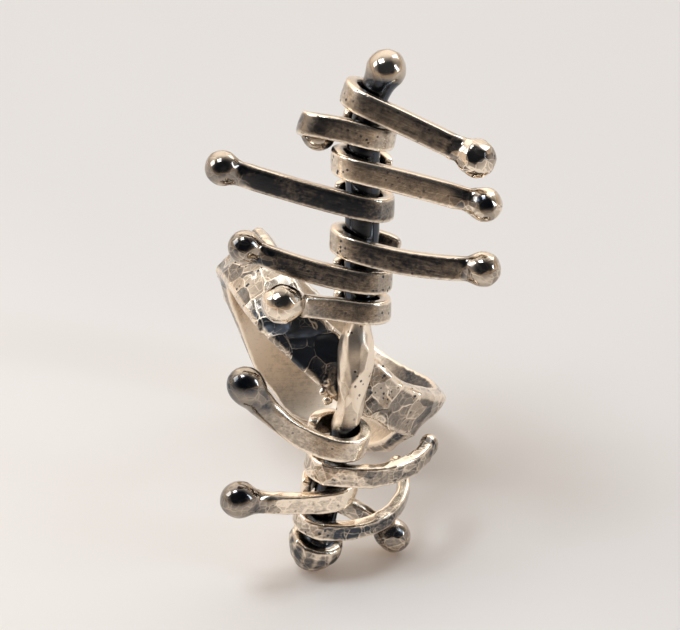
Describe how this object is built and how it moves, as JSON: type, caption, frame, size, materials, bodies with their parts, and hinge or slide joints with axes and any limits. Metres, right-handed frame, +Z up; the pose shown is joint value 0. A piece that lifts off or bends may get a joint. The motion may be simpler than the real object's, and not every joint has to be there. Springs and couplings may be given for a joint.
{
  "type": "knuckle armour ring",
  "caption": "Hammered finger band with a forged spine rod across it and flat hooked ribs that end in melted balls.",
  "frame": {"origin": "centre of the finger hole", "axes": "+Z up from the surface that the ring stands on, -Y to the front, where the spine and ribs face, +X to the wearer's side that the top ribs point to"},
  "size_m": [0.0245, 0.0299, 0.042],
  "materials": {
    "hammered_silver": "oxidised silver, hammered, with polished ridges",
    "rib_silver": "oxidised silver, dark flats with polished edges and melted glossy ball ends"
  },
  "bodies": {
    "root": {"band_and_spine": "hammered_silver", "rib_1_right": "rib_silver", "rib_2_left": "rib_silver", "rib_3_right": "rib_silver", "rib_4_left": "rib_silver", "rib_5_right": "rib_silver", "rib_6_left": "rib_silver", "rib_7_left": "rib_silver", "rib_8_left": "rib_silver", "rib_9_right": "rib_silver", "rib_10_left": "rib_silver", "rib_11_right": "rib_silver"}
  },
  "joints": []
}
